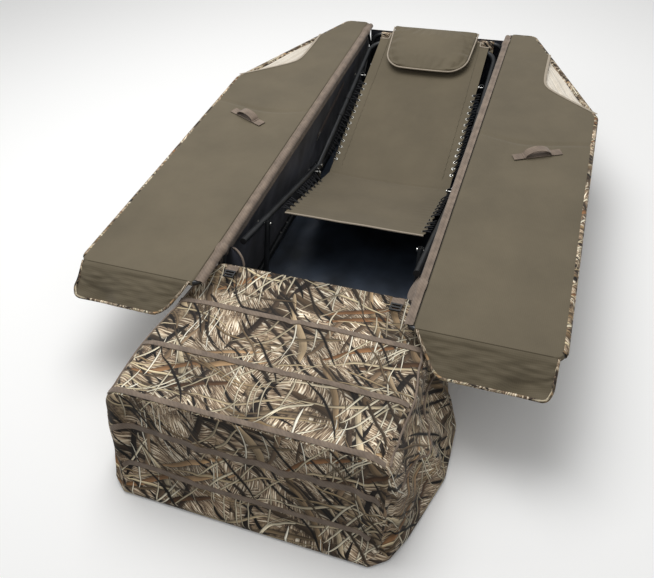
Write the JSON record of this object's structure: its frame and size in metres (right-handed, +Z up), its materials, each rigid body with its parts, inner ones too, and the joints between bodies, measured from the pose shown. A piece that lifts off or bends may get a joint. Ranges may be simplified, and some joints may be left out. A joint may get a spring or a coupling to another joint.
{
  "type": "layout field blind",
  "caption": "Low folding field blind: steel frame, laced reclining chair inside, flip-open fabric doors along both sides and a domed fabric footbox.",
  "frame": {"origin": "centre of the footprint's box, on the ground", "axes": "+X to the right seen from the foot end, +Y from the feet to the head, +Z up"},
  "size_m": [1.474, 2.35, 0.3618],
  "materials": {
    "black_tube": "black powder coat",
    "plated_steel": "zinc plated",
    "black_plastic": "moulded satin",
    "zip_metal": "dark nickel",
    "khaki_cloth": "coated woven polyester",
    "camo_cloth": "printed woven polyester",
    "tan_webbing": "ribbed webbing",
    "cream_mesh": "open see-through mesh",
    "black_elastic": "braided elastic cord",
    "floor_fabric": "coated floor cloth"
  },
  "bodies": {
    "blind": {"base_frame_foot": "black_tube", "base_frame_head": "black_tube", "base_inserts": "black_tube", "chair_crossbars": "black_tube", "cockpit_hinge_brackets": "black_tube", "cockpit_hoop": "black_tube", "corner_flaps": "tan_webbing", "floor_cloth": "floor_fabric", "foot_hoop_brackets": "black_tube", "foot_hoop_pins": "plated_steel", "footbox_shell": "camo_cloth", "footbox_straps": "tan_webbing", "front_legs": "black_tube", "head_hinge_brackets": "black_tube", "head_hoop": "black_tube", "head_wall": "camo_cloth", "hip_pins": "plated_steel", "hip_plates": "black_tube", "hoop_clamps": "black_tube", "left_side_wall": "camo_cloth", "left_wall_binding": "tan_webbing", "left_zip_tape": "tan_webbing", "leg_bolts": "plated_steel", "rail_caps": "black_plastic", "rear_legs": "black_tube", "right_side_wall": "camo_cloth", "right_wall_binding": "tan_webbing", "right_zip_tape": "tan_webbing", "seat_cloth": "khaki_cloth", "seat_grommets": "plated_steel", "seat_lacing": "black_elastic", "seat_rails": "black_tube", "snap_buttons": "plated_steel", "strap_buckles": "black_plastic"},
    "left_door": {"left_door_frame": "black_tube", "left_door_lining": "khaki_cloth", "left_door_cover": "camo_cloth", "left_door_window": "cream_mesh", "left_door_skirt": "khaki_cloth", "left_door_handle": "tan_webbing"},
    "right_door": {"right_door_frame": "black_tube", "right_door_lining": "khaki_cloth", "right_door_cover": "camo_cloth", "right_door_window": "cream_mesh", "right_door_skirt": "khaki_cloth", "right_door_handle": "tan_webbing"},
    "chair_back": {"back_frame": "black_tube", "back_sleeves": "black_plastic", "back_cloth": "khaki_cloth", "back_grommets": "plated_steel", "back_lacing": "black_elastic", "prop_bolts": "plated_steel"},
    "back_prop": {"prop_stand": "black_tube"},
    "headrest": {"headrest_pillow": "khaki_cloth", "headrest_patch": "tan_webbing"},
    "foot_hoop": {"foot_hoop": "black_tube"},
    "left_zip": {"left_zip_slider": "zip_metal"},
    "right_zip": {"right_zip_slider": "zip_metal"}
  },
  "joints": [
    {"name": "left_door_hinge", "type": "hinge", "parent": "blind", "child": "left_door", "pos_m": [-0.317, 0, 0.327], "axis": [0, 1, 0], "range_deg": [0, 166], "deforming": ["left_door_skirt"]},
    {"name": "right_door_hinge", "type": "hinge", "parent": "blind", "child": "right_door", "pos_m": [0.317, 0, 0.327], "axis": [0, -1, 0], "range_deg": [0, 144], "deforming": ["right_door_skirt"]},
    {"name": "back_recline", "type": "hinge", "parent": "blind", "child": "chair_back", "pos_m": [0, 0.285, 0.134], "axis": [1, 0, 0], "range_deg": [-11, 0]},
    {"name": "prop_fold", "type": "hinge", "parent": "chair_back", "child": "back_prop", "pos_m": [0, 0.84256, 0.24238], "axis": [1, 0, 0], "range_deg": [0, 69.3]},
    {"name": "headrest_slide", "type": "slide", "parent": "chair_back", "child": "headrest", "axis": [0, -0.9816, -0.1908], "range_m": [0, 0.08]},
    {"name": "foot_hoop_fold", "type": "hinge", "parent": "blind", "child": "foot_hoop", "pos_m": [0, -1.06, 0.037], "axis": [-1, 0, 0], "range_deg": [0, 80], "deforming": ["footbox_shell", "footbox_straps"]},
    {"name": "left_zip_slide", "type": "slide", "parent": "blind", "child": "left_zip", "axis": [0.014, 0.9848, 0.1731], "range_m": [0, 0.27]},
    {"name": "right_zip_slide", "type": "slide", "parent": "blind", "child": "right_zip", "axis": [-0.014, 0.9848, 0.1731], "range_m": [0, 0.27]}
  ],
  "couplings": [
    {"joint": "prop_fold", "follows": "back_recline", "ratio": -6.2818}
  ]
}
